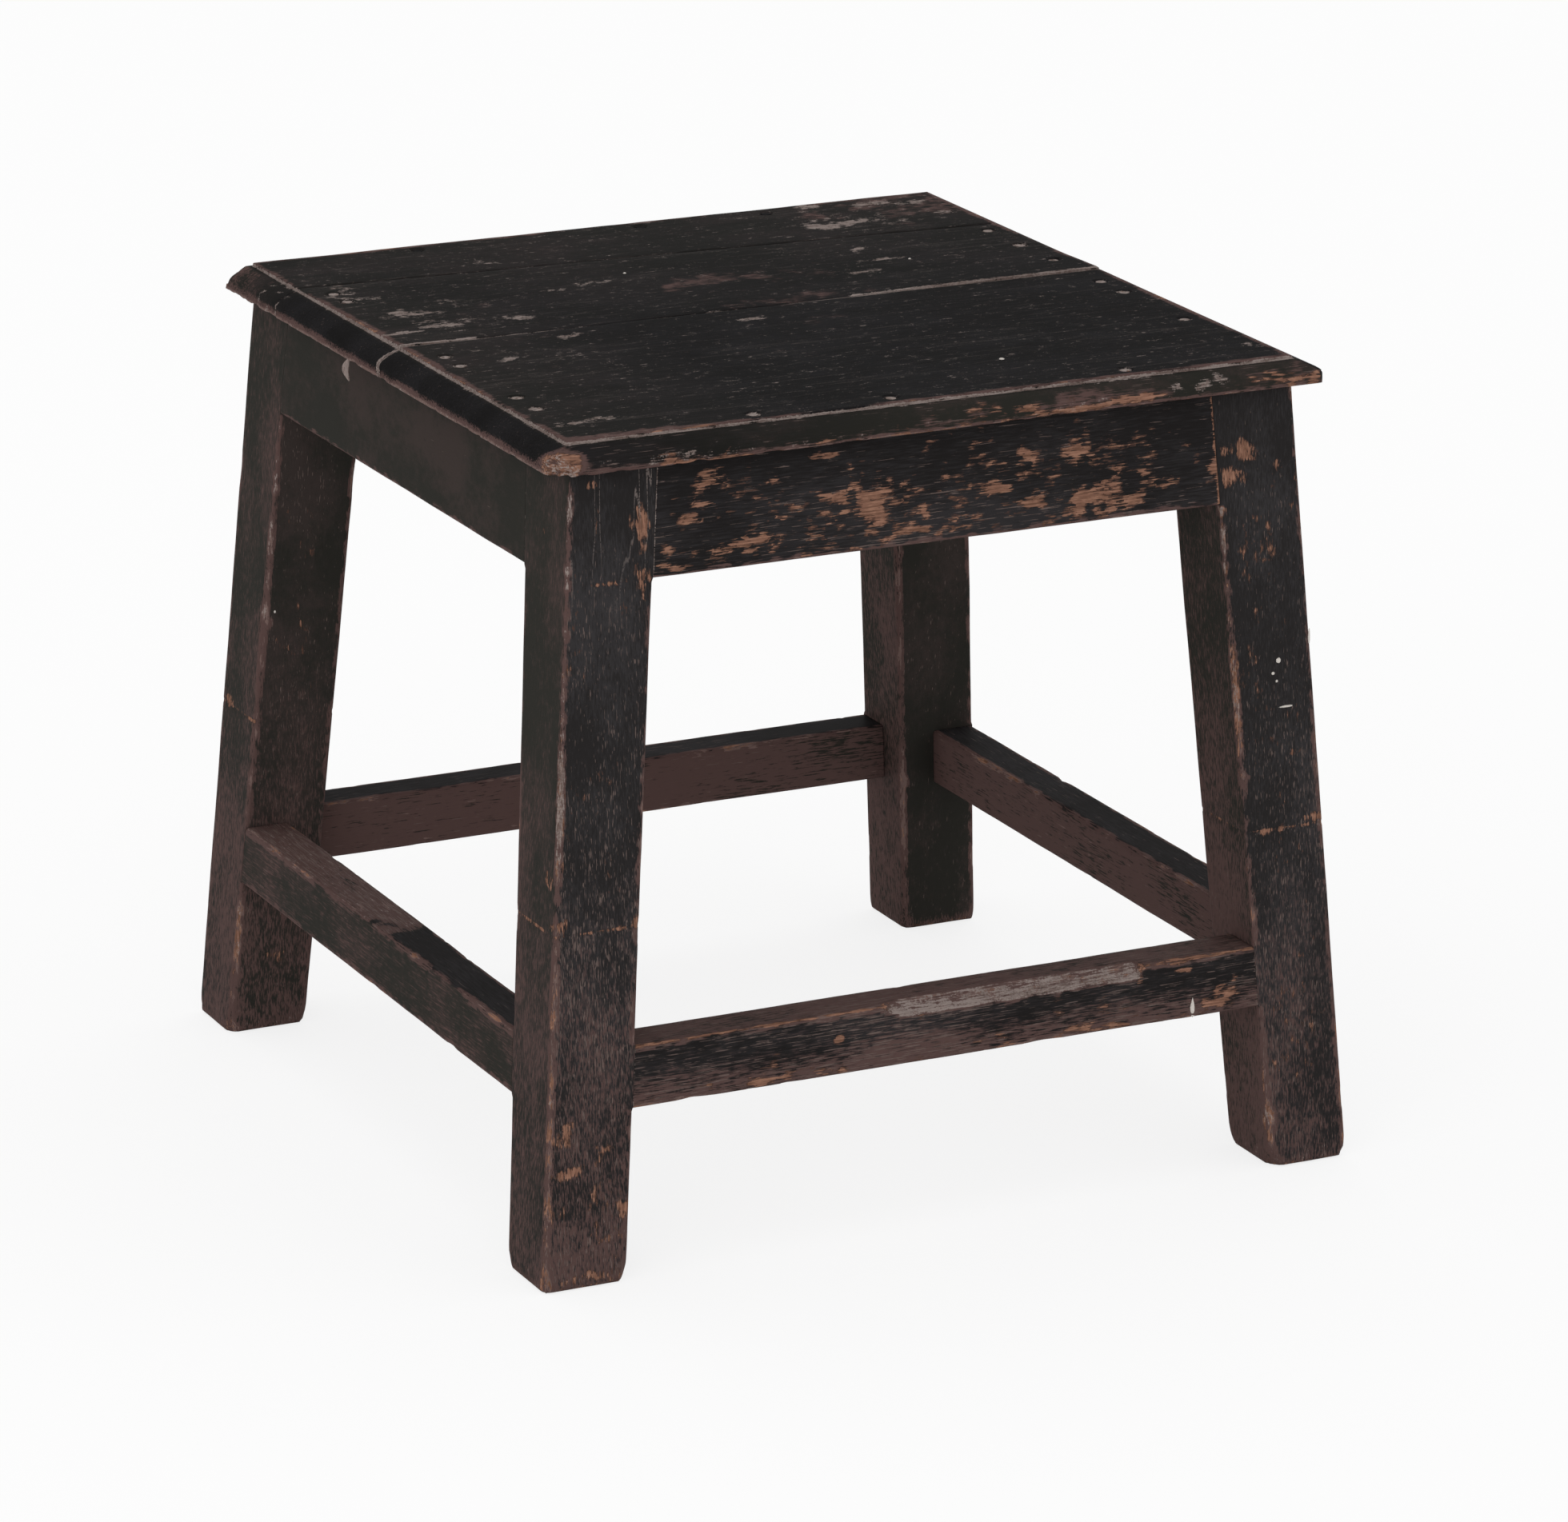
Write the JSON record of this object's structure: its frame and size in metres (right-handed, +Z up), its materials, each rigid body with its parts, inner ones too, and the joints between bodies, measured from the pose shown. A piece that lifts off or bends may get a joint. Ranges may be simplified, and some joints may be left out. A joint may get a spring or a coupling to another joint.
{
  "type": "stool",
  "caption": "Low square stool with a moulded board seat, splayed square legs, flush aprons and a box of stretchers, in worn black paint over wood.",
  "frame": {"origin": "on the floor, under the middle of the seat", "axes": "+Z up, X along the front, +Y from the front to the back"},
  "size_m": [0.4302, 0.4366, 0.4],
  "materials": {
    "seat_paint": "worn black paint, satin, with dust in the joints",
    "leg_paint": "worn black paint, rubbed to brown along the edges",
    "rail_paint": "worn black paint, chipped to bare wood",
    "nail_iron": "dull, dusty"
  },
  "bodies": {
    "root": {"apron_back": "rail_paint", "apron_front": "rail_paint", "apron_left": "rail_paint", "apron_right": "rail_paint", "leg_back_left": "leg_paint", "leg_back_right": "leg_paint", "leg_front_left": "leg_paint", "leg_front_right": "leg_paint", "nail_back_1": "nail_iron", "nail_back_2": "nail_iron", "nail_back_3": "nail_iron", "nail_front_1": "nail_iron", "nail_front_2": "nail_iron", "nail_front_3": "nail_iron", "nail_left_1": "nail_iron", "nail_left_2": "nail_iron", "nail_left_3": "nail_iron", "nail_left_4": "nail_iron", "nail_left_5": "nail_iron", "nail_left_6": "nail_iron", "nail_right_1": "nail_iron", "nail_right_2": "nail_iron", "nail_right_3": "nail_iron", "nail_right_4": "nail_iron", "nail_right_5": "nail_iron", "nail_right_6": "nail_iron", "seat_board_back": "seat_paint", "seat_board_front": "seat_paint", "seat_board_middle": "seat_paint", "stretcher_back": "rail_paint", "stretcher_front": "rail_paint", "stretcher_left": "rail_paint", "stretcher_right": "rail_paint"}
  },
  "joints": []
}
